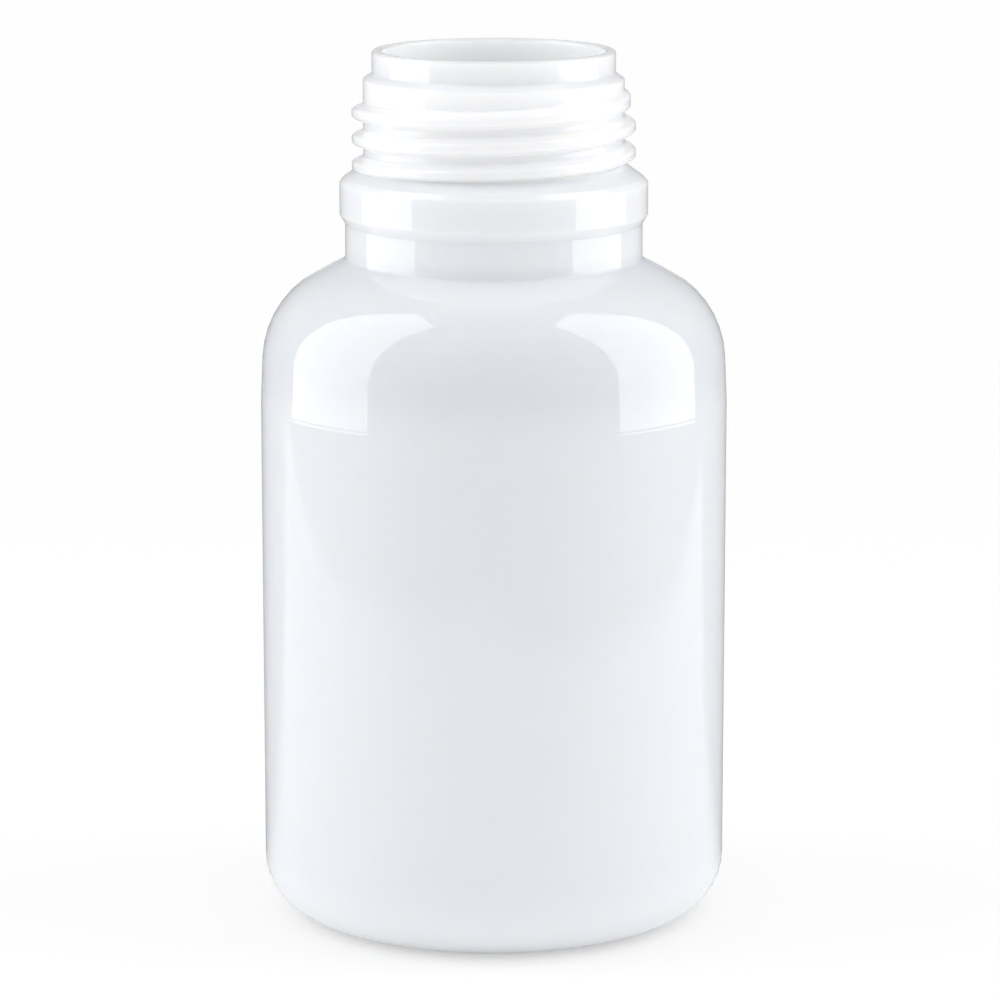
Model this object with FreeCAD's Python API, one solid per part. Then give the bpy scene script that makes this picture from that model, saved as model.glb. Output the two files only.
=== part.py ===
import FreeCAD, Part
import math
import os

from FreeCAD import Placement, Rotation, Vector

# Wide-mouth bottle, blown in one piece: a hollow round body, a sloping shoulder and a neck
# that carries a coarse screw thread and a collar for the closure's ring.
# Millimetres, +Z up. The origin is at the middle of the base, on the surface the bottle stands on.
# Every height of the neck is measured downwards from the sealing lip, as a neck finish is drawn.

# Overall
total_height = 139.4
body_diameter = 74.5

# Sealing lip and mouth
mouth_bore = 35.4
bore_length = 6.0
lip_diameter = 38.6
lip_height = 3.6
lip_step_height = 0.9
lip_edge_bevel = 0.35

# Screw thread: one start, right hand, with a bevelled crest and a long run-in
thread_diameter = 45.0
thread_depth = 1.8
thread_pitch = 4.15
thread_foot_width = 3.9
thread_crest_width = 1.4
thread_crest_bevel = 0.3
thread_start_depth = 6.75
thread_start_angle = 90.0
run_in_turns = 0.5
run_in_slack = 0.05
thread_turns = 2.8
thread_bite = 0.5
thread_band_height = 13.85

# Collar under the thread, and the plain neck under the collar
collar_diameter = 49.0
collar_height = 7.55
collar_top_radius = 2.0
collar_chamfer_height = 1.5
neck_diameter = 47.3
neck_height = 5.7
neck_foot_radius = 1.0

# Shoulder: a cone, one round arc, and a wall with a little draft down to the seam
shoulder_slope = 28.4
shoulder_radius = 15.5
shoulder_height = 22.6
shoulder_draft = 2.5

# Walls
neck_wall = 2.2
neck_taper_height = 5.5
body_wall = 1.3
base_wall = 1.8

# Base: rounded heel, flat foot ring, pushed-up middle and the pinched line across it
heel_radius = 9.0
foot_ring_width = 1.6
push_up_step = 1.6
push_up_height = 2.8
push_up_flat_diameter = 22.0
pinch_rib_length = 38.0
pinch_rib_width = 1.2
pinch_rib_height = 0.35

# Points this near to each other count as one where the thread meets the wall.
join_tolerance = 0.0001

# Radii
mouth_radius = mouth_bore / 2.0
lip_radius = lip_diameter / 2.0
crest_radius = thread_diameter / 2.0
root_radius = crest_radius - thread_depth
collar_radius = collar_diameter / 2.0
neck_radius = neck_diameter / 2.0
body_radius = body_diameter / 2.0
inner_radius = body_radius - body_wall
inner_thread_radius = root_radius - neck_wall
inner_neck_radius = neck_radius - neck_wall

# Heights of the neck, from the sealing lip down
lip_foot = total_height - lip_height
thread_band_top = lip_foot - lip_step_height
collar_top = thread_band_top - thread_band_height
collar_bottom = collar_top - collar_height
neck_top = collar_bottom - collar_chamfer_height
neck_foot = neck_top - neck_height
seam_height = neck_foot - shoulder_height
bore_foot = total_height - bore_length
bore_taper_foot = bore_foot - (inner_thread_radius - mouth_radius)
neck_taper_foot = collar_top - neck_taper_height

# The cone line of the shoulder, z = neck_foot - (r - neck_radius) * cone_drop, meets the
# drafted wall, r = body_radius - (z - seam_height) * draft, at the shoulder's corner.
slope = math.radians(shoulder_slope)
cone_drop = math.tan(slope)
draft = math.tan(math.radians(shoulder_draft))
shoulder_corner_height = ((neck_foot - (body_radius - neck_radius + seam_height * draft) * cone_drop)
                          / (1.0 - draft * cone_drop))
shoulder_corner_radius = body_radius - (shoulder_corner_height - seam_height) * draft

# The inside of the shoulder runs parallel to the cone, one body wall below it.
inner_cone_shift = body_wall / math.cos(slope)
inner_neck_foot = neck_foot + neck_wall * cone_drop - inner_cone_shift
inner_shoulder_height = neck_foot - (inner_radius - neck_radius) * cone_drop - inner_cone_shift

# Base radii
foot_outer_radius = body_radius - heel_radius
foot_inner_radius = foot_outer_radius - foot_ring_width
push_up_radius = foot_inner_radius - push_up_step
push_up_flat_radius = push_up_flat_diameter / 2.0


def corner_arc(before, corner, after, radius):
    """Ends and middle of the arc that rounds a corner with the given radius."""
    to_before = (before - corner).normalize()
    to_after = (after - corner).normalize()
    half_angle = to_before.getAngle(to_after) / 2.0
    reach = radius / math.tan(half_angle)
    start = corner + to_before * reach
    end = corner + to_after * reach
    bisector = (to_before + to_after).normalize()
    middle = corner + bisector * (radius / math.sin(half_angle) - radius)
    return start, middle, end


def rounded_outline(corners):
    """Closed wire in the XZ plane through corners given as (radius, height, rounding)."""
    points = [Vector(x, 0.0, z) for x, z, rounding in corners]
    pieces = []
    for index, (x, z, rounding) in enumerate(corners):
        if rounding > 0.0:
            after = points[(index + 1) % len(points)]
            pieces.append(corner_arc(points[index - 1], points[index], after, rounding))
        else:
            pieces.append((points[index],))
    edges = []
    for index, piece in enumerate(pieces):
        if len(piece) == 3:
            edges.append(Part.Arc(*piece).toShape())
        following = pieces[(index + 1) % len(pieces)]
        edges.append(Part.LineSegment(piece[-1], following[0]).toShape())
    return Part.Wire(edges)


def revolve(outline):
    """Full turn of a closed outline about the bottle's axis."""
    return Part.Face(outline).revolve(Vector(0, 0, 0), Vector(0, 0, 1), 360)


def make_wall():
    """The whole wall of the bottle from its true section: outside down, inside up."""
    outside = [
        (mouth_radius + lip_edge_bevel, total_height, 0.0),
        (lip_radius - lip_edge_bevel, total_height, 0.0),
        (lip_radius, total_height - lip_edge_bevel, 0.0),
        (lip_radius, lip_foot, 0.0),
        (root_radius, thread_band_top, 0.0),
        (root_radius, collar_top, 0.0),
        (collar_radius, collar_top, collar_top_radius),
        (collar_radius, collar_bottom, 0.0),
        (neck_radius, neck_top, 0.0),
        (neck_radius, neck_foot, neck_foot_radius),
        (shoulder_corner_radius, shoulder_corner_height, shoulder_radius),
        (body_radius, seam_height, 0.0),
        (body_radius, 0.0, heel_radius),
        (foot_inner_radius, 0.0, 0.0),
        (push_up_radius, push_up_step, 0.0),
        (push_up_flat_radius, push_up_height, 0.0),
        (0.0, push_up_height, 0.0)]
    inside = [
        (0.0, push_up_height + base_wall, 0.0),
        (push_up_flat_radius, push_up_height + base_wall, 0.0),
        (push_up_radius, push_up_step + base_wall, 0.0),
        (foot_inner_radius, base_wall, 0.0),
        (inner_radius, base_wall, heel_radius - body_wall),
        (inner_radius, inner_shoulder_height, shoulder_radius - body_wall),
        (inner_neck_radius, inner_neck_foot, 0.0),
        (inner_neck_radius, neck_taper_foot, 0.0),
        (inner_thread_radius, collar_top, 0.0),
        (inner_thread_radius, bore_taper_foot, 0.0),
        (mouth_radius, bore_foot, 0.0),
        (mouth_radius, total_height - lip_edge_bevel, 0.0)]
    return revolve(rounded_outline(outside + inside))


def sweep_ridge(start_depth, start_angle, turns):
    """Thread ridge over a right-hand helix that starts at a depth and an angle and falls from there.

    The section is a trapezoid with a bevelled crest, sunk into the wall by the thread's bite.
    """
    section = [
        (root_radius - thread_bite, -thread_foot_width / 2.0),
        (crest_radius - thread_crest_bevel, -thread_crest_width / 2.0 - thread_crest_bevel),
        (crest_radius, -thread_crest_width / 2.0),
        (crest_radius, thread_crest_width / 2.0),
        (crest_radius - thread_crest_bevel, thread_crest_width / 2.0 + thread_crest_bevel),
        (root_radius - thread_bite, thread_foot_width / 2.0)]
    points = [Vector(radius, 0.0, height) for radius, height in section]
    outline = Part.makePolygon(points + points[:1])
    drop = thread_pitch * turns
    helix = Part.Wire(Part.makeHelix(thread_pitch, drop, root_radius).Edges)
    ridge = helix.makePipeShell([outline], True, True)
    low_end = Vector(0.0, 0.0, total_height - start_depth - drop)
    ridge.Placement = Placement(low_end, Rotation(Vector(0, 0, 1), start_angle - 360.0 * turns))
    return ridge


def make_run_in():
    """First half turn of the ridge, which rises out of the wall from nothing to full height.

    It is what lies inside an off-centre cylinder that touches the root on the start's side
    and the crest half a turn later.
    """
    ridge = sweep_ridge(thread_start_depth, thread_start_angle, run_in_turns)
    reach = (crest_radius + root_radius) / 2.0 + run_in_slack
    away = Vector(math.cos(math.radians(thread_start_angle)), math.sin(math.radians(thread_start_angle)), 0.0)
    middle = away * (root_radius - reach) + Vector(0.0, 0.0, collar_top)
    return ridge.common(Part.makeCylinder(reach, total_height - collar_top, middle))


def make_thread():
    """Run-in and full ridge, which ends inside the collar."""
    full_start_depth = thread_start_depth + thread_pitch * run_in_turns
    full_start_angle = thread_start_angle - 360.0 * run_in_turns
    full = sweep_ridge(full_start_depth, full_start_angle, thread_turns)
    return full, make_run_in()


def make_pinch_rib():
    """Low rib across the push-up, where the closed mould pinched the tube."""
    slope_rise = (push_up_height - push_up_step) / (push_up_radius - push_up_flat_radius)
    end = pinch_rib_length / 2.0
    end_height = push_up_height - (end - push_up_flat_radius) * slope_rise
    sunk = base_wall / 2.0
    corners = [
        (-end, end_height - pinch_rib_height),
        (-push_up_flat_radius, push_up_height - pinch_rib_height),
        (push_up_flat_radius, push_up_height - pinch_rib_height),
        (end, end_height - pinch_rib_height),
        (end, end_height + sunk),
        (push_up_flat_radius, push_up_height + sunk),
        (-push_up_flat_radius, push_up_height + sunk),
        (-end, end_height + sunk)]
    points = [Vector(x, -pinch_rib_width / 2.0, z) for x, z in corners]
    return Part.Face(Part.makePolygon(points + points[:1])).extrude(Vector(0.0, pinch_rib_width, 0.0))


def make_bottle():
    """Wall, thread and rib as one solid."""
    bottle = make_wall()
    for added in (*make_thread(), make_pinch_rib()):
        bottle = bottle.fuse([added], join_tolerance)
    return bottle.Solids[0]


os.makedirs("parts", exist_ok=True)
bottle = make_bottle()
bottle.exportStep("parts/bottle.step")

print("valid", bottle.isValid(), "faces", len(bottle.Faces), "plastic, cubic cm", round(bottle.Volume / 1000.0, 2))
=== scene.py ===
import math

import bpy
import numpy as np
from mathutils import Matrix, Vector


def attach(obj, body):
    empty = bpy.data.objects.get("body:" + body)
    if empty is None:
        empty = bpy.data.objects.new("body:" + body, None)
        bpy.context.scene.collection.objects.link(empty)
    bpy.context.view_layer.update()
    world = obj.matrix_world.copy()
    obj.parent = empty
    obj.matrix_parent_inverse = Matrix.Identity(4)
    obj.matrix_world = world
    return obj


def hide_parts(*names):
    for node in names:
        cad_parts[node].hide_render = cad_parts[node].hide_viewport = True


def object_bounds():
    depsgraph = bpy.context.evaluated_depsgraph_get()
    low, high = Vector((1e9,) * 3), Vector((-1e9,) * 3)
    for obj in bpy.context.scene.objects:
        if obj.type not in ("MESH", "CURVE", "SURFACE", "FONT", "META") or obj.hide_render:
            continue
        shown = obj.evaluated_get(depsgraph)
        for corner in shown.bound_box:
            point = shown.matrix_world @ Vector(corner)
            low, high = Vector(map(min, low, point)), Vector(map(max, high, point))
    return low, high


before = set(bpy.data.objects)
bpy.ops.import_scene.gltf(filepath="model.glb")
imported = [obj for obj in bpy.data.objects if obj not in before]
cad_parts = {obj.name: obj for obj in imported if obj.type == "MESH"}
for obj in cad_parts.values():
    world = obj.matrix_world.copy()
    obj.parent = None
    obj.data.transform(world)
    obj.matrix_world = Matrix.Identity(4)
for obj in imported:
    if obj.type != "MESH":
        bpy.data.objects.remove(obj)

cadLow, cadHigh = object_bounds()
mm = 0.001
white = (1.0, 1.0, 1.0, 1.0)
black = (0.0, 0.0, 0.0, 1.0)

# Sizes of the bottle in millimetres, as the part is drawn. Height and width come from the frame.
bottle = {
    "height": cadHigh.z / mm,
    "bodyRadius": cadHigh.x / mm,
    "mouthRadius": 17.7,
    "boreLength": 6.0,
    "lipRadius": 19.3,
    "lipHeight": 3.6,
    "lipStep": 0.9,
    "lipRounding": 0.55,
    "lipJoin": 0.2,
    "rootRadius": 20.7,
    "crestRadius": 22.5,
    "threadBand": 13.85,
    "threadFillet": 0.4,
    "collarRadius": 24.5,
    "collarHeight": 7.55,
    "collarRise": 0.6,
    "collarDrop": 1.7,
    "collarEdge": 0.7,
    "collarEdgeSlope": 1.2,
    "collarRounding": 0.6,
    "collarBevel": 1.5,
    "neckRadius": 23.65,
    "neckHeight": 5.7,
    "neckFootRounding": 0.8,
    "shoulderSlope": 28.4,
    "shoulderRounding": 15.5,
    "shoulderHeight": 22.6,
    "shoulderDraft": 2.5,
    "seamGroove": 0.018,
    "seamWidth": 0.28,
    "neckWall": 2.2,
    "neckTaper": 5.5,
    "innerFootRounding": 2.0,
    "innerNeckRounding": 3.0,
    "bodyWall": 1.3,
    "baseWall": 1.8,
    "heelRounding": 9.0,
    "footRing": 1.6,
    "pushUpStep": 1.6,
    "pushUpHeight": 2.8,
    "pushUpFlatRadius": 11.0,
    "pushUpRounding": 20.0,
    "edgeRounding": 0.35,
    "arcStep": 9.0,
    "columns": 224,
}


def roundedLine(corners):
    # A line through (radius, height, rounding, spacing) corners. Each corner with a rounding is
    # an arc tangent to both sides: it starts rounding / tan(half the corner's angle) before the
    # corner. Each side is divided into steps no longer than its spacing.
    given = np.array(corners, float)
    places = given[:, :2]
    pieces = []
    lastEnd = places[0]
    for index in range(1, len(places)):
        here = places[index]
        rounding = given[index, 2]
        spacing = given[index, 3]
        start = here
        arc = np.zeros((0, 2))
        if rounding > 0.0:
            back = places[index - 1] - here
            ahead = places[index + 1] - here
            back /= np.linalg.norm(back)
            ahead /= np.linalg.norm(ahead)
            half = math.acos(np.clip(back @ ahead, -1.0, 1.0)) / 2.0
            start = here + back * rounding / math.tan(half)
            middle = here + (back + ahead) / np.linalg.norm(back + ahead) * rounding / math.sin(half)
            sweep = math.pi - 2.0 * half
            steps = max(3, int(math.ceil(sweep / math.radians(bottle["arcStep"]))))
            side = np.sign(back[0] * ahead[1] - back[1] * ahead[0])
            turn = side * sweep * np.linspace(0.0, 1.0, steps + 1)[1:]
            spoke = start - middle
            arc = middle + np.stack([spoke[0] * np.cos(turn) + spoke[1] * np.sin(turn),
                                     spoke[1] * np.cos(turn) - spoke[0] * np.sin(turn)], axis=1)
        count = max(1, int(math.ceil(np.linalg.norm(start - lastEnd) / spacing)))
        share = np.linspace(0.0, 1.0, count + 1)[1:, None]
        pieces.append(lastEnd + (start - lastEnd) * share)
        pieces.append(arc)
        lastEnd = arc[-1] if len(arc) else here
    return np.concatenate([places[:1]] + pieces)


def bottleSection():
    # The wall's section: outside from the lip down to the middle of the base, inside back up.
    # Heights of the neck are taken off the lip's. The shoulder's corner is where the cone,
    # height = neck's foot - (radius - neck) * drop, meets the drafted wall,
    # radius = body - (height - seam) * draft. The inside is the outside, one wall further in.
    b = bottle
    top = b["height"]
    lipFoot = top - b["lipHeight"]
    bandTop = lipFoot - b["lipStep"]
    collarTop = bandTop - b["threadBand"]
    collarFoot = collarTop - b["collarHeight"]
    neckTop = collarFoot - b["collarBevel"]
    neckFoot = neckTop - b["neckHeight"]
    seam = neckFoot - b["shoulderHeight"]
    drop = math.tan(math.radians(b["shoulderSlope"]))
    draft = math.tan(math.radians(b["shoulderDraft"]))
    cornerHeight = neckFoot - (b["bodyRadius"] - b["neckRadius"] + seam * draft) * drop
    cornerHeight /= 1.0 - draft * drop
    cornerRadius = b["bodyRadius"] - (cornerHeight - seam) * draft
    innerRadius = b["bodyRadius"] - b["bodyWall"]
    innerNeck = b["neckRadius"] - b["neckWall"]
    innerThread = b["rootRadius"] - b["neckWall"]
    innerShift = b["bodyWall"] / math.cos(math.radians(b["shoulderSlope"]))
    innerNeckFoot = neckFoot + b["neckWall"] * drop - innerShift
    innerShoulder = neckFoot - (innerRadius - b["neckRadius"]) * drop - innerShift
    boreFoot = top - b["boreLength"]
    footInner = b["bodyRadius"] - b["heelRounding"] - b["footRing"]
    pushUpRadius = footInner - b["pushUpStep"]
    lipJoin = b["mouthRadius"] + b["lipRounding"] + b["lipJoin"]   # the two lines meet on the lip
    collarEdge = collarTop - b["collarDrop"]
    collarSide = collarEdge - b["collarEdge"] * b["collarEdgeSlope"]
    seamWidth = b["seamWidth"]   # rows this near to the seam keep its shading narrow
    small = b["edgeRounding"]
    outside = [
        (lipJoin, top, 0.0, 1.0),
        (b["lipRadius"], top, b["lipRounding"], 0.4),
        (b["lipRadius"], lipFoot, small, 1.2),
        (b["rootRadius"], bandTop, small, 0.6),
        (b["rootRadius"], collarTop + b["collarRise"], b["threadFillet"], 0.14),
        (b["collarRadius"] - b["collarEdge"], collarEdge, b["collarRounding"], 0.2),
        (b["collarRadius"], collarSide, b["collarRounding"], 0.25),
        (b["collarRadius"], collarFoot, small, 1.5),
        (b["neckRadius"], neckTop, small, 0.8),
        (b["neckRadius"], neckFoot, b["neckFootRounding"], 1.5),
        (cornerRadius, cornerHeight, b["shoulderRounding"], 1.5),
        (b["bodyRadius"] - seamWidth * draft * 2.0, seam + seamWidth * 2.0, 0.0, 1.5),
        (b["bodyRadius"] - seamWidth * draft, seam + seamWidth, 0.0, 0.2),
        (b["bodyRadius"] - b["seamGroove"], seam, 0.0, 0.2),
        (b["bodyRadius"], seam - seamWidth, 0.0, 0.2),
        (b["bodyRadius"], seam - seamWidth * 2.0, 0.0, 0.2),
        (b["bodyRadius"], 0.0, b["heelRounding"], 2.5),
        (footInner, 0.0, small, 0.8),
        (pushUpRadius, b["pushUpStep"], small * 2, 0.8),
        (b["pushUpFlatRadius"], b["pushUpHeight"], b["pushUpRounding"], 1.2),
        (0.0, b["pushUpHeight"], 0.0, 0.8)]
    inside = [
        (0.0, b["pushUpHeight"] + b["baseWall"], 0.0, 2.5),
        (b["pushUpFlatRadius"], b["pushUpHeight"] + b["baseWall"], b["pushUpRounding"], 2.5),
        (pushUpRadius, b["pushUpStep"] + b["baseWall"], small * 2, 2.0),
        (footInner, b["baseWall"], small, 1.5),
        (innerRadius, b["baseWall"], b["heelRounding"] - b["bodyWall"], 1.5),
        (innerRadius, innerShoulder, b["shoulderRounding"] - b["bodyWall"], 3.5),
        (innerNeck, innerNeckFoot, b["innerFootRounding"], 2.0),
        (innerNeck, collarTop - b["neckTaper"], b["innerNeckRounding"], 2.0),
        (innerThread, collarTop, b["innerNeckRounding"], 1.2),
        (innerThread, boreFoot - (innerThread - b["mouthRadius"]), small, 1.5),
        (b["mouthRadius"], boreFoot, small, 0.8),
        (b["mouthRadius"], top, b["lipRounding"], 1.0),
        (lipJoin, top, 0.0, 0.4)]
    return roundedLine(outside), roundedLine(inside), collarTop, bandTop


# The thread's ridge: a right-hand helix that falls from the back of the neck, in millimetres,
# degrees and turns. Its last turn runs on into the collar, as deep as sunk says.
thread = {
    "startDepth": 6.75,
    "startAngle": 90.0,
    "pitch": 4.15,
    "turns": 3.3,
    "runIn": 0.5,
    "halfFoot": 1.5,
    "flank": 0.45,
    "crestRounding": 0.8,
    "rootRounding": 0.4,
    "sunk": 2.5,
    "leastRise": 0.001,
}


def softLower(first, second, width):
    # The lower of two heights less near squared * width / 4, which rounds the corner between them;
    # near falls from 1, where they are equal, to 0, where they are a width apart.
    near = np.maximum(width - np.abs(first - second), 0.0) / width
    return np.minimum(first, second) - near * near * width / 4.0


def ridgeHeight(angle, depth):
    # Height of the thread's ridge over its root, at an angle in degrees and a depth below the lip.
    # The nearest turn of the helix depth = startDepth + pitch * turn gives the distance from the
    # ridge's middle; the ridge is a trapezoid over that distance, with rounded corners.
    part = np.mod(thread["startAngle"] - angle, 360.0) / 360.0
    whole = np.round((depth - thread["startDepth"]) / thread["pitch"] - part)
    whole = np.clip(whole, 0.0, np.floor(thread["turns"] - part))
    turn = whole + part
    away = np.abs(depth - thread["startDepth"] - thread["pitch"] * turn)
    full = bottle["crestRadius"] - bottle["rootRadius"]
    flank = (thread["halfFoot"] - away) / thread["flank"]
    rise = full * (1.0 - np.cos(math.pi * np.clip(turn / thread["runIn"], 0.0, 1.0))) / 2.0
    top = softLower(flank, rise, thread["crestRounding"])
    return -softLower(-top, np.zeros_like(top), thread["rootRounding"])


# The line across the base where the closed mould pinched the tube, in millimetres. It is there
# only below baseHeight.
pinchLine = {
    "length": 38.0,
    "width": 1.0,
    "slope": 0.35,
    "endSlope": 1.5,
    "height": 0.35,
    "baseHeight": 5.0,
}


def ribHeight(x, y):
    # The pinched line's height: a smooth step over |y| times a smooth step over |x|.
    line = pinchLine
    overWidth = np.clip((line["width"] / 2.0 + line["slope"] - np.abs(y)) / line["slope"], 0.0, 1.0)
    overLength = np.clip((line["length"] / 2.0 - np.abs(x)) / line["endSlope"], 0.0, 1.0)
    smooth = (3.0 - 2.0 * overWidth) * overWidth ** 2 * (3.0 - 2.0 * overLength) * overLength ** 2
    return line["height"] * smooth


def gridMesh(name, points, closedColumns, poles=()):
    # Mesh over a grid of points (rows, columns, 3): one face for each point, its neighbour in the
    # next row and theirs in the next column. Columns may wrap round, and the first and the last
    # row may each be closed by a fan of triangles to a pole.
    rows, columns = points.shape[:2]
    faceColumns = columns if closedColumns else columns - 1
    row, column = np.meshgrid(np.arange(rows - 1), np.arange(faceColumns), indexing="ij")
    nextColumn = (column + 1) % columns
    quads = np.stack([row * columns + column, (row + 1) * columns + column,
                      (row + 1) * columns + nextColumn, row * columns + nextColumn], axis=-1)
    places = points.reshape(-1, 3)
    faces = quads.reshape(-1, 4).tolist()
    if len(poles):
        ring = np.arange(columns)
        following = (ring + 1) % columns
        last = (rows - 1) * columns
        first = len(places)
        places = np.concatenate([places, poles])
        faces += np.stack([0 * ring + first, ring, following], axis=-1).tolist()
        faces += np.stack([last + ring, 0 * ring + first + 1, last + following], axis=-1).tolist()
    mesh = bpy.data.meshes.new(name)
    mesh.from_pydata(places, [], faces)
    mesh.polygons.foreach_set("use_smooth", np.ones(len(mesh.polygons), bool))
    mesh.update()
    piece = bpy.data.objects.new(name, mesh)
    bpy.context.scene.collection.objects.link(piece)
    return piece


def makeBottle():
    # The section carried round the axis: x = radius * cos(angle), y = radius * sin(angle). Outside,
    # the radius is the section's or root + ridge height, whichever is more, and the pinched line
    # is taken off the height of the base.
    outsideLine, insideLine, collarTop, bandTop = bottleSection()
    line = np.concatenate([insideLine[1:-1], outsideLine[:-1]])   # up the inside, down the outside
    angle = np.arange(bottle["columns"]) * 360.0 / bottle["columns"]
    radius = np.repeat(line[:, :1], len(angle), axis=1)
    height = np.repeat(line[:, 1:], len(angle), axis=1)
    isOutside = (np.arange(len(line)) >= len(insideLine) - 2)[:, None]
    rise = ridgeHeight(angle[None, :] + 0.0 * height, bottle["height"] - height)
    inBand = isOutside & (height > collarTop - thread["sunk"]) & (height < bandTop)
    inBand = inBand & (rise > thread["leastRise"])
    radius = np.where(inBand, np.maximum(radius, bottle["rootRadius"] + rise), radius)
    turn = np.radians(angle)[None, :]
    x = radius * np.cos(turn)
    y = radius * np.sin(turn)
    onBase = isOutside & (height < pinchLine["baseHeight"]) & (radius < pinchLine["length"] / 2.0)
    height = height - np.where(onBase, ribHeight(x, y), 0.0)
    points = np.stack([x, y, height], axis=-1) * mm
    baseTop = bottle["pushUpHeight"]
    poles = np.array([[0.0, 0.0, baseTop + bottle["baseWall"]],
                      [0.0, 0.0, baseTop - pinchLine["height"]]]) * mm
    piece = gridMesh("bottle_wall", points, True, poles)
    print("bottle wall", points.shape[:2], "triangles", 2 * points.shape[0] * points.shape[1])
    return piece


def mathNode(tree, operation, first, second):
    # Math node with links or plain numbers on its two inputs.
    node = tree.nodes.new("ShaderNodeMath")
    node.operation = operation
    for socket, given in zip(node.inputs, (first, second)):
        if isinstance(given, (int, float)):
            socket.default_value = given
        else:
            tree.links.new(given, socket)
    return node.outputs[0]


def mixNode(tree, kind, factor, first, second):
    # first * (1 - factor) + second * factor for values ("FLOAT") or colours ("RGBA"), with links
    # or plain values on the inputs.
    node = tree.nodes.new("ShaderNodeMix")
    node.data_type = kind
    for name, given in (("Factor", factor), ("A", first), ("B", second)):
        if isinstance(given, (float, tuple)):
            node.inputs[name].default_value = given
        else:
            tree.links.new(given, node.inputs[name])
    return node.outputs["Result"]


def smoothBetween(tree, value, start, end):
    # 0 up to start, 1 from end on, 3 t^2 - 2 t^3 between; start may be the larger one.
    node = tree.nodes.new("ShaderNodeMapRange")
    node.interpolation_type = "SMOOTHSTEP"
    rising = start < end
    node.inputs["From Min"].default_value = start if rising else end
    node.inputs["From Max"].default_value = end if rising else start
    node.inputs["To Min"].default_value = 0.0 if rising else 1.0
    node.inputs["To Max"].default_value = 1.0 if rising else 0.0
    tree.links.new(value, node.inputs["Value"])
    return node.outputs["Result"]


def axisDistance(tree, x, y):
    # Distance from the bottle's axis: the square root of x * x + y * y.
    squares = mathNode(tree, "ADD", mathNode(tree, "MULTIPLY", x, x), mathNode(tree, "MULTIPLY", y, y))
    return mathNode(tree, "SQRT", squares, 0.0)


def noiseOver(tree, place, pattern):
    # Noise over Object coordinates, with a pattern of (scale, detail, roughness).
    noise = tree.nodes.new("ShaderNodeTexNoise")
    for name, given in zip(("Scale", "Detail", "Roughness"), pattern):
        noise.inputs[name].default_value = given
    tree.links.new(place, noise.inputs["Vector"])
    return noise.outputs["Fac"]


# The plastic's tones, and where they begin and end, in metres. Some tones are painted light and
# shade: lighter at the neck's foot, in the thread's valleys and in the bore, darker on the lip.
# Patterns are (scale, detail, roughness) of a noise.
plastic = {
    "colour": (0.930, 0.944, 0.964, 1.0),
    "cloud": (0.910, 0.929, 0.956, 1.0),
    "neck": (0.80, 0.813, 0.835, 1.0),
    "crest": (0.825, 0.832, 0.848, 1.0),
    # root is painted light: the thread's valleys and flanks are lighter than the neck, against the shade
    # between the ridges.
    "root": (0.95, 0.955, 0.965, 1.0),
    # neckFoot is painted light: the shoulder just under the neck is lighter, standing in for light from
    # the neck.
    "neckFoot": (0.975, 0.98, 0.988, 1.0),
    # lip is painted shade: the lip's top ring is darker.
    "lip": (0.62, 0.64, 0.67, 1.0),
    # bore is painted light: the inside of the mouth is lighter and bluer than the neck, standing in for
    # the light inside the bottle.
    "paintedBoreLight": (0.865, 0.905, 1.0, 1.0),
    "neckHeight": (0.1058, 0.1074),
    "footLightHeight": (0.1005, 0.1035),
    "threadHeight": (0.1210, 0.1348),
    "crestRadius": (0.0210, 0.0221),
    "boreRadius": 0.01865,
    "lipHeight": (0.13885, 0.13925),
    "scatterRadius": (1.12, 1.0, 0.83),
    "scatterScale": 0.0035,
    "cloudPattern": (26.0, 3.0, 0.55),
    "cloudStretch": 0.3,
    "roughness": (0.02, 0.045),
    "roughPattern": (140.0, 2.0, 0.5),
    "wavePattern": (32.0, 1.0, 0.4),
    "waveHeight": 0.00003,
    "neckWaves": 0.15,
    "skinPattern": (1400.0, 2.0, 0.5),
    "skinHeight": 0.0000015,
    "ior": 1.51,
}


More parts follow.
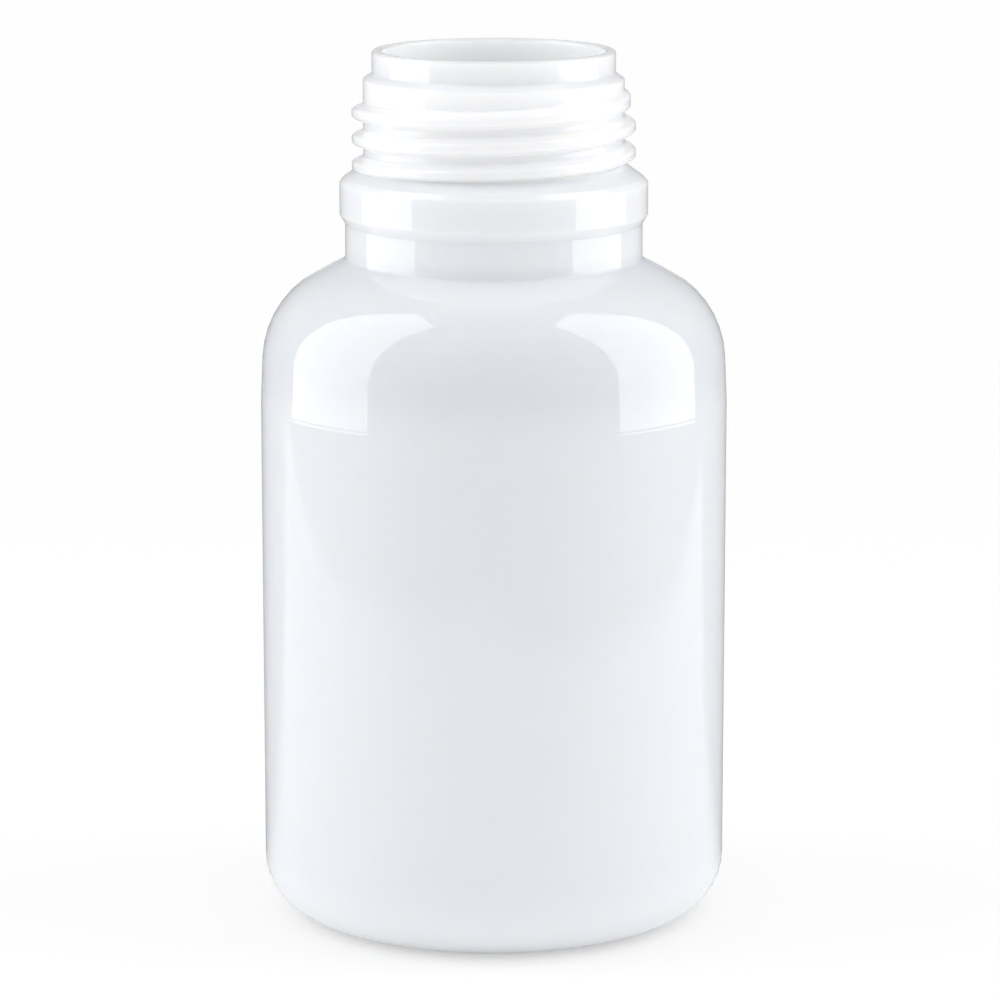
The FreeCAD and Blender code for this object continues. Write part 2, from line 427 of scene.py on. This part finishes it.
def blownSkin():
    # Group for the skin of blown plastic: milky clouds drawn out along the height, patchy gloss,
    # and a surface that is a height of long waves plus a fine grain. The neck was pressed, not
    # blown, so waves and clouds fade out above the shoulder. The other masks are 1 on the neck's
    # foot, the thread, its crests, the bore and the lip, by height and by distance from the axis.
    # They place painted light and shade: lighter at the neck's foot, in the thread's valleys and in
    # the bore, darker on the lip.
    tree = bpy.data.node_groups.new("blown_skin", "ShaderNodeTree")
    for name in ("Cloud", "Gloss", "FootLight", "Pressed", "Thread", "Crest", "BoreLight", "LipShade"):
        tree.interface.new_socket(name=name, in_out="OUTPUT", socket_type="NodeSocketFloat")
    tree.interface.new_socket(name="Normal", in_out="OUTPUT", socket_type="NodeSocketVector")
    nodes = tree.nodes
    links = tree.links
    out = nodes.new("NodeGroupOutput")
    place = nodes.new("ShaderNodeTexCoord").outputs["Object"]
    stretch = nodes.new("ShaderNodeMapping")
    stretch.inputs["Scale"].default_value = (1.0, 1.0, plastic["cloudStretch"])
    links.new(place, stretch.inputs["Vector"])
    split = nodes.new("ShaderNodeSeparateXYZ")
    links.new(place, split.inputs[0])
    height = split.outputs["Z"]
    radius = axisDistance(tree, split.outputs["X"], split.outputs["Y"])
    pressed = smoothBetween(tree, height, *plastic["neckHeight"])
    low, high = plastic["threadHeight"]
    threaded = mathNode(tree, "MULTIPLY", mathNode(tree, "GREATER_THAN", height, low),
                        mathNode(tree, "LESS_THAN", height, high))
    links.new(pressed, out.inputs["Pressed"])
    links.new(threaded, out.inputs["Thread"])
    links.new(smoothBetween(tree, radius, *plastic["crestRadius"]), out.inputs["Crest"])
    links.new(mathNode(tree, "LESS_THAN", radius, plastic["boreRadius"]), out.inputs["BoreLight"])
    links.new(smoothBetween(tree, height, *plastic["footLightHeight"]), out.inputs["FootLight"])
    links.new(smoothBetween(tree, height, *plastic["lipHeight"]), out.inputs["LipShade"])
    links.new(noiseOver(tree, stretch.outputs[0], plastic["cloudPattern"]), out.inputs["Cloud"])
    links.new(noiseOver(tree, place, plastic["roughPattern"]), out.inputs["Gloss"])
    wave = nodes.new("ShaderNodeBump")
    wave.inputs["Distance"].default_value = plastic["waveHeight"]
    links.new(mixNode(tree, "FLOAT", pressed, 1.0, plastic["neckWaves"]), wave.inputs["Strength"])
    links.new(noiseOver(tree, place, plastic["wavePattern"]), wave.inputs["Height"])
    grain = nodes.new("ShaderNodeBump")
    grain.inputs["Distance"].default_value = plastic["skinHeight"]
    links.new(noiseOver(tree, place, plastic["skinPattern"]), grain.inputs["Height"])
    links.new(wave.outputs["Normal"], grain.inputs["Normal"])
    links.new(grain.outputs["Normal"], out.inputs["Normal"])
    return tree


def makePlastic():
    # Glossy plastic that scatters light inside: the mean path is scatterRadius * scatterScale. Its
    # colour is one tone after another laid over the last by the skin's masks: clouds and the neck's
    # foot on the wall; thread, bore and lip on the neck. The neck's foot, the thread's valleys and
    # the bore are painted lighter and the lip is painted darker, as painted light and shade.
    material = bpy.data.materials.new("milky_plastic")
    material.use_nodes = True
    tree = material.node_tree
    shader = tree.nodes["Principled BSDF"]
    shader.inputs["Subsurface Weight"].default_value = 1.0
    shader.inputs["Subsurface Radius"].default_value = plastic["scatterRadius"]
    shader.inputs["Subsurface Scale"].default_value = plastic["scatterScale"]
    shader.inputs["IOR"].default_value = plastic["ior"]
    skin = tree.nodes.new("ShaderNodeGroup")
    skin.node_tree = blownSkin()
    wall = mixNode(tree, "RGBA", skin.outputs["Cloud"], plastic["colour"], plastic["cloud"])
    # Painted light: a lighter band on the shoulder under the neck.
    wall = mixNode(tree, "RGBA", skin.outputs["FootLight"], wall, plastic["neckFoot"])
    # Painted light in the thread's valleys: the roots are lighter than the crests.
    threadValleyLight = mixNode(tree, "RGBA", skin.outputs["Crest"], plastic["root"], plastic["crest"])
    neck = mixNode(tree, "RGBA", skin.outputs["Thread"], plastic["neck"], threadValleyLight)
    # Painted light inside the mouth.
    neck = mixNode(tree, "RGBA", skin.outputs["BoreLight"], neck, plastic["paintedBoreLight"])
    # Painted shade: the lip's top ring is darker.
    neck = mixNode(tree, "RGBA", skin.outputs["LipShade"], neck, plastic["lip"])
    colour = mixNode(tree, "RGBA", skin.outputs["Pressed"], wall, neck)
    gloss = mixNode(tree, "FLOAT", skin.outputs["Gloss"], *plastic["roughness"])
    tree.links.new(colour, shader.inputs["Base Color"])
    tree.links.new(gloss, shader.inputs["Roughness"])
    tree.links.new(skin.outputs["Normal"], shader.inputs["Normal"])
    print("milky plastic ready")
    return material


# The photograph's view, in metres, degrees and, for lens and sensor, millimetres.
view = {
    "distance": 0.7052,
    "height": 0.2107,
    "aside": 0.00098,
    "pitch": 11.526,
    "lens": 161.0,
    "sensor": 36.0,
}


def makeCamera():
    # The camera stands at (aside, -distance, height) and looks along +Y, pitched down.
    data = bpy.data.cameras.new("camera")
    data.lens = view["lens"]
    data.sensor_width = view["sensor"]
    camera = bpy.data.objects.new("camera", data)
    bpy.context.scene.collection.objects.link(camera)
    camera.location = (view["aside"], -view["distance"], view["height"])
    camera.rotation_euler = (math.radians(90.0 - view["pitch"]), 0.0, 0.0)
    bpy.context.scene.camera = camera
    print("camera ready")


# The softboxes, in metres. Light and gloss are the radiance of each box's two lamps, and the lamp
# for the gloss stands nearer by the gap.
softbox = {
    "depth": 0.58,
    "height": 1.7,
    "distance": 0.60,
    "gap": 0.1,
    "forward": 0.03,
    "foot": 0.005,
    "light": 0.95,
    "gloss": 2.35,
}


def makeSoftbox(name, side, distance, radiance, inDiffuse):
    # Rectangle that faces the bottle from one side. Its width and height grow with its distance, so
    # it keeps its angles at any distance, and its power is pi * width * height * radiance.
    share = distance / softbox["distance"]
    depth = softbox["depth"] * share
    height = softbox["height"] * share
    data = bpy.data.lights.new(name, "AREA")
    data.shape = "RECTANGLE"
    data.size = depth
    data.size_y = height
    data.energy = math.pi * depth * height * radiance
    light = bpy.data.objects.new(name, data)
    light.location = (side * distance, -softbox["forward"] * share, softbox["foot"] + height / 2.0)
    light.rotation_euler = (math.radians(90.0), 0.0, side * math.radians(90.0))
    light.visible_diffuse = inDiffuse
    light.visible_glossy = not inDiffuse
    bpy.context.scene.collection.objects.link(light)


def makeLights():
    # Each softbox is two lamps: one carries the light, the nearer one is what the gloss shows.
    near = softbox["distance"] - softbox["gap"]
    for side in (-1.0, 1.0):
        makeSoftbox("softbox", side, softbox["distance"], softbox["light"], True)
        makeSoftbox("softbox_gloss", side, near, softbox["gloss"], False)
    print("softboxes ready")


# The room's radiance: light is its diffuse light, less of which comes from the front and the back,
# and gloss is what the bottle's gloss sees of it. The sheet stands straight behind the bottle.
# Edges are parts of a direction of length 1.
room = {
    "light": 1.0,
    "frontLight": 0.8,
    "backLight": 0.8,
    "lightEdge": (0.3, 0.95),
    "gloss": 0.28,
    "sheetGloss": 0.55,
    "sheetEdge": (0.18, 0.12),
}


def seenDirectly(tree, path):
    # 1 for camera rays and for rays that went through something clear, which are to see white.
    return mathNode(tree, "MAXIMUM", path.outputs["Is Camera Ray"], path.outputs["Is Transmission Ray"])


def makeWorld():
    # Strength by kind of ray: 1 where seen directly, the room's gloss or the sheet's for glossy rays,
    # and otherwise the room's light, smoothly lowered towards the front and the back.
    world = bpy.data.worlds.new("studio")
    world.use_nodes = True
    tree = world.node_tree
    background = tree.nodes["Background"]
    background.inputs["Color"].default_value = white
    path = tree.nodes.new("ShaderNodeLightPath")
    split = tree.nodes.new("ShaderNodeSeparateXYZ")
    tree.links.new(tree.nodes.new("ShaderNodeTexCoord").outputs["Generated"], split.inputs[0])
    aside = mathNode(tree, "ABSOLUTE", split.outputs["X"], 0.0)
    sheet = mathNode(tree, "MULTIPLY", smoothBetween(tree, aside, *room["sheetEdge"]),
                     mathNode(tree, "GREATER_THAN", split.outputs["Y"], 0.0))
    gloss = mixNode(tree, "FLOAT", sheet, room["gloss"], room["sheetGloss"])
    start, end = room["lightEdge"]
    front = smoothBetween(tree, split.outputs["Y"], -start, -end)
    back = smoothBetween(tree, split.outputs["Y"], start, end)
    light = mixNode(tree, "FLOAT", front, room["light"], room["frontLight"])
    light = mixNode(tree, "FLOAT", back, light, room["backLight"])
    strength = mixNode(tree, "FLOAT", path.outputs["Is Glossy Ray"], light, gloss)
    strength = mixNode(tree, "FLOAT", seenDirectly(tree, path), strength, 1.0)
    tree.links.new(strength, background.inputs["Strength"])
    bpy.context.scene.world = world
    print("world ready")


# The floor, in metres. The camera sees the shade colour plus a glow near the bottle and only the
# sweep's glow further out. The gloss sees a painted pool of light with slanted edges, each
# (start, end) of a smooth step with its slant, whose back edge is a painted shadow of the
# bottle, and everywhere else the floor painted dark.
table = {
    "size": 6.0,
    "below": 0.00002,
    "colour": (0.93, 0.93, 0.933, 1.0),
    "roughness": 0.9,
    "shadeColour": (0.44, 0.44, 0.442, 1.0),
    "glow": 0.50,
    "sweep": (0.10, 0.55),
    "sweepGlow": 0.99,
    # The floor is painted dark for glossy rays outside the pool, a painted reflection of dark
    # surroundings.
    "paintedGlossDark": (0.28, 0.28, 0.28, 1.0),
    # Edges of the painted pool of light; the back edge is a painted shadow of the bottle.
    "front": (-0.32, -0.26),
    "frontSlant": 0.585,
    "back": (0.01, -0.04),
    "paintedShadowSlant": 0.6,
    "side": (0.31, 0.272),
    "sideSlant": 0.44,
    "aside": 0.021,
}


def paintedTablePool(tree, x, y):
    # 1 on the painted pool of light that the gloss shows on the floor. It is bounded in front by
    # y = start + slant * |x|, behind in the same way and on either side by |x| = start + slant * y,
    # and the strip below the sheet is added. The pool stands a little to the left, and its back
    # edge is a painted shadow of the bottle, which doesn't.
    middle = mathNode(tree, "ABSOLUTE", x, 0.0)
    aside = mathNode(tree, "ABSOLUTE", mathNode(tree, "ADD", x, table["aside"]), 0.0)
    front = mathNode(tree, "SUBTRACT", y, mathNode(tree, "MULTIPLY", aside, table["frontSlant"]))
    back = mathNode(tree, "SUBTRACT", y, mathNode(tree, "MULTIPLY", middle, table["paintedShadowSlant"]))
    side = mathNode(tree, "SUBTRACT", aside, mathNode(tree, "MULTIPLY", y, table["sideSlant"]))
    paintedLit = smoothBetween(tree, front, *table["front"])
    paintedLit = mathNode(tree, "MULTIPLY", paintedLit, smoothBetween(tree, back, *table["back"]))
    paintedLit = mathNode(tree, "MULTIPLY", paintedLit, smoothBetween(tree, side, *table["side"]))
    strip = mathNode(tree, "LESS_THAN", middle, mathNode(tree, "MULTIPLY", y, room["sheetEdge"][1]))
    return mathNode(tree, "MAXIMUM", paintedLit, strip)


def makeFloor():
    # Flat grid at z = -below. Camera rays, and glossy rays that meet the painted pool of light, see a
    # pale floor with the bottle's shadow, which turns into an even white further out. Other glossy
    # rays see it painted dark, and the light that it sends back to the bottle comes from its plain
    # colour.
    half = table["size"] / 2.0
    x, y = np.meshgrid((-half, half), (-half, half), indexing="xy")
    floor = gridMesh("floor", np.stack([x, y, 0.0 * x - table["below"]], axis=-1), False)
    material = bpy.data.materials.new("pale_floor")
    material.use_nodes = True
    tree = material.node_tree
    shader = tree.nodes["Principled BSDF"]
    shader.inputs["Specular IOR Level"].default_value = 0.0
    shader.inputs["Roughness"].default_value = table["roughness"]
    shader.inputs["Emission Color"].default_value = white
    split = tree.nodes.new("ShaderNodeSeparateXYZ")
    tree.links.new(tree.nodes.new("ShaderNodeTexCoord").outputs["Object"], split.inputs[0])
    away = smoothBetween(tree, axisDistance(tree, split.outputs["X"], split.outputs["Y"]), *table["sweep"])
    path = tree.nodes.new("ShaderNodeLightPath")
    # Glossy rays see a painted pool of light on the floor, glowing like the pale floor.
    paintedPool = mathNode(tree, "MULTIPLY", path.outputs["Is Glossy Ray"],
                        paintedTablePool(tree, split.outputs["X"], split.outputs["Y"]))
    pale = mathNode(tree, "MAXIMUM", seenDirectly(tree, path), paintedPool)
    # Other glossy rays see the floor painted dark.
    dim = mathNode(tree, "SUBTRACT", path.outputs["Is Glossy Ray"], paintedPool)
    near = mixNode(tree, "RGBA", away, table["shadeColour"], black)
    colour = mixNode(tree, "RGBA", pale, table["colour"], near)
    colour = mixNode(tree, "RGBA", dim, colour, table["paintedGlossDark"])
    glow = mixNode(tree, "FLOAT", away, table["glow"], table["sweepGlow"])
    tree.links.new(colour, shader.inputs["Base Color"])
    tree.links.new(mathNode(tree, "MULTIPLY", pale, glow), shader.inputs["Emission Strength"])
    floor.data.materials.append(material)
    print("floor ready")


piece = makeBottle()
piece.data.materials.append(makePlastic())
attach(piece, "root")
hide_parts("bottle")
makeCamera()
makeLights()
makeWorld()
makeFloor()
bpy.context.scene.view_settings.view_transform = "Standard"
